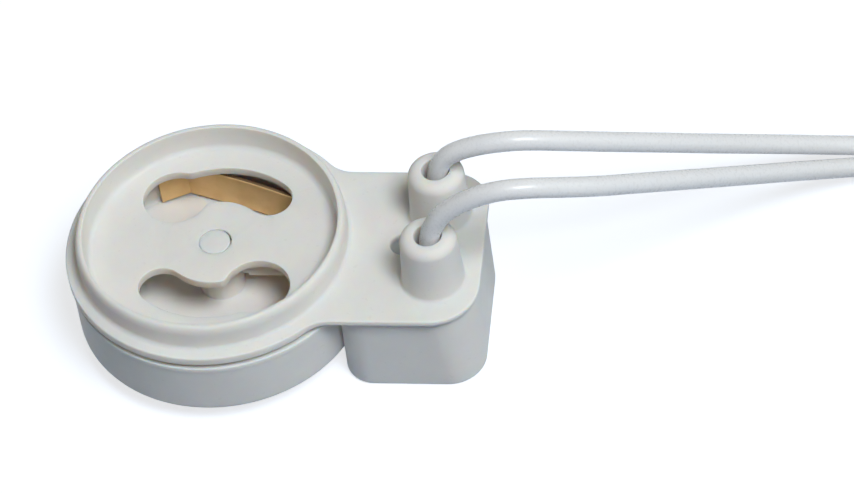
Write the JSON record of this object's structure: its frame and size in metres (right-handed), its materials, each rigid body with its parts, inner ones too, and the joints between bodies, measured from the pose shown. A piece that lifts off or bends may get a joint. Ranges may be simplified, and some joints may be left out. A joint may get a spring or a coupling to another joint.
{
  "type": "fluorescent lamp starter holder",
  "caption": "Round moulded starter socket with curved keyhole slots over brass strip contacts, a terminal box beside it and insulated leads rising from tapered entries.",
  "frame": {"origin": "middle of the holder's footprint, on the surface that the terminal box stands on", "axes": "+Z out of the starter seat, +X from the round socket towards the terminal box and the leads, +Y away from the camera of the reference picture"},
  "size_m": [0.0924, 0.0553, 0.0214],
  "materials": {
    "cover_white_moulding": "satin white moulded thermoplastic",
    "housing_white_moulding": "satin white moulded thermoplastic",
    "far_contact_brass": "rolled strip, dull",
    "near_contact_brass": "rolled strip, dull",
    "core_far_tinned": "bright tinned solid conductor",
    "core_near_tinned": "bright tinned solid conductor",
    "lead_far_insulation": "smooth white insulation",
    "lead_near_insulation": "smooth white insulation",
    "coil_far_insulation": "smooth white insulation",
    "coil_near_insulation": "smooth white insulation",
    "tie_far_plastic": "pale flat band",
    "tie_near_plastic": "pale flat band",
    "tail_far_insulation": "smooth white insulation",
    "tail_near_insulation": "smooth white insulation",
    "stripped_far_tinned": "bright tinned solid conductor",
    "stripped_near_tinned": "bright tinned solid conductor"
  },
  "bodies": {
    "root": {"cover": "cover_white_moulding", "housing": "housing_white_moulding", "contact_far": "far_contact_brass", "contact_near": "near_contact_brass", "core_far": "core_far_tinned", "core_near": "core_near_tinned", "lead_far": "lead_far_insulation", "lead_near": "lead_near_insulation", "coil_far": "coil_far_insulation", "coil_near": "coil_near_insulation", "tie_far": "tie_far_plastic", "tie_near": "tie_near_plastic", "tail_far": "tail_far_insulation", "tail_near": "tail_near_insulation", "stripped_far": "stripped_far_tinned", "stripped_near": "stripped_near_tinned"}
  },
  "joints": []
}
